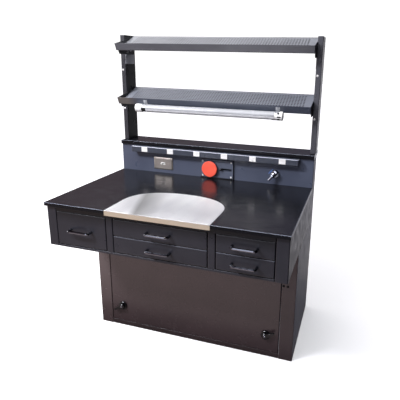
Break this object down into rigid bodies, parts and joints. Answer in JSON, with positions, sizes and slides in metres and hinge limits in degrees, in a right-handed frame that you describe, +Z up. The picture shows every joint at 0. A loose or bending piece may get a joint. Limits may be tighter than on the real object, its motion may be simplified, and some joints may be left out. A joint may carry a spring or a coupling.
{
  "type": "ceramist bench",
  "caption": "Seated ceramist bench of black sheet steel: drawers over a knee space, inset steel work plate, riser with sockets, suction port and air valve, sloping tray shelves with a lamp.",
  "frame": {"origin": "on the floor, at the middle of the bench's outline from above", "axes": "+X to the sitter's right, +Y from the sitter to the back of the bench, +Z up"},
  "size_m": [1.076, 0.795, 1.487],
  "materials": {
    "black_paint": "semi-gloss black paint",
    "black_laminate": "glossy black laminate",
    "black_plastic": "satin black",
    "stainless": "brushed",
    "chrome": "polished",
    "blue_plastic": "gloss",
    "white_plastic": "gloss",
    "lamp_glass": "white coated tube",
    "clip_plastic": "milky grey",
    "red_plastic": "soft gloss"
  },
  "bodies": {
    "carcass": {"cabinet_left_side": "black_paint", "cabinet_right_side": "black_paint", "cabinet_base": "black_paint", "back_panel": "black_paint", "case_left_side": "black_paint", "case_right_side": "black_paint", "case_bottom": "black_paint", "case_top": "black_paint", "divider_left": "black_paint", "divider_right": "black_paint", "riser_panel": "black_paint", "post_left": "black_paint", "post_right": "black_paint", "shelf_upper": "black_paint", "shelf_lower": "black_paint", "power_strip": "black_paint", "worktop": "black_laminate", "riser_ledge": "black_laminate", "switch_body": "black_plastic", "port_plate": "black_plastic", "port_spigot": "black_plastic", "work_plate": "stainless", "switch_plate": "stainless", "valve_body": "chrome", "lamp_cap_left": "white_plastic", "lamp_cap_right": "white_plastic", "socket_1": "white_plastic", "socket_2": "white_plastic", "socket_3": "white_plastic", "socket_4": "white_plastic", "socket_5": "white_plastic", "socket_6": "white_plastic", "lamp_tube": "lamp_glass", "lamp_clip_left": "clip_plastic", "lamp_clip_right": "clip_plastic"},
    "drawer_left": {"drawer_left_front": "black_paint", "drawer_left_pan": "black_paint", "drawer_left_handle": "black_plastic"},
    "drawer_middle_upper": {"drawer_middle_upper_front": "black_paint", "drawer_middle_upper_pan": "black_paint", "drawer_middle_upper_handle": "black_plastic"},
    "drawer_middle_lower": {"drawer_middle_lower_front": "black_paint", "drawer_middle_lower_pan": "black_paint", "drawer_middle_lower_handle": "black_plastic"},
    "drawer_right_upper": {"drawer_right_upper_front": "black_paint", "drawer_right_upper_pan": "black_paint", "drawer_right_upper_handle": "black_plastic"},
    "drawer_right_lower": {"drawer_right_lower_front": "black_paint", "drawer_right_lower_pan": "black_paint", "drawer_right_lower_handle": "black_plastic"},
    "access": {"access_panel": "black_paint", "latch_left_rose": "black_plastic", "latch_right_rose": "black_plastic"},
    "latch_left": {"latch_left_handle": "black_plastic"},
    "latch_right": {"latch_right_handle": "black_plastic"},
    "toggle": {"switch_toggle": "white_plastic"},
    "gate": {"gate_slide": "black_plastic"},
    "cap": {"port_cap": "red_plastic"},
    "valve_handle": {"valve_lever": "blue_plastic"}
  },
  "joints": [
    {"name": "drawer_left_slide", "type": "slide", "parent": "carcass", "child": "drawer_left", "axis": [0, -1, 0], "range_m": [0, 0.3]},
    {"name": "drawer_middle_upper_slide", "type": "slide", "parent": "carcass", "child": "drawer_middle_upper", "axis": [0, -1, 0], "range_m": [0, 0.3]},
    {"name": "drawer_middle_lower_slide", "type": "slide", "parent": "carcass", "child": "drawer_middle_lower", "axis": [0, -1, 0], "range_m": [0, 0.3]},
    {"name": "drawer_right_upper_slide", "type": "slide", "parent": "carcass", "child": "drawer_right_upper", "axis": [0, -1, 0], "range_m": [0, 0.3]},
    {"name": "drawer_right_lower_slide", "type": "slide", "parent": "carcass", "child": "drawer_right_lower", "axis": [0, -1, 0], "range_m": [0, 0.3]},
    {"name": "access_panel_pull", "type": "slide", "parent": "carcass", "child": "access", "axis": [0, -1, 0], "range_m": [0, 0.2]},
    {"name": "latch_left_turn", "type": "hinge", "parent": "access", "child": "latch_left", "pos_m": [-0.3604, -0.0915, 0.1173], "axis": [0, -1, 0], "range_deg": [0, 90]},
    {"name": "latch_right_turn", "type": "hinge", "parent": "access", "child": "latch_right", "pos_m": [0.4024, -0.0915, 0.1173], "axis": [0, 1, 0], "range_deg": [0, 90]},
    {"name": "switch_flip", "type": "hinge", "parent": "carcass", "child": "toggle", "pos_m": [-0.2835, 0.2575, 0.811], "axis": [0, 0, 1], "range_deg": [0, 44]},
    {"name": "gate_travel", "type": "slide", "parent": "carcass", "child": "gate", "axis": [1, 0, 0], "range_m": [0, 0.05]},
    {"name": "cap_pull", "type": "slide", "parent": "carcass", "child": "cap", "axis": [0, -1, 0], "range_m": [0, 0.06]},
    {"name": "valve_turn", "type": "hinge", "parent": "carcass", "child": "valve_handle", "pos_m": [0.343, 0.2305, 0.814], "axis": [-0.7431, 0, 0.6691], "range_deg": [0, 90]}
  ]
}
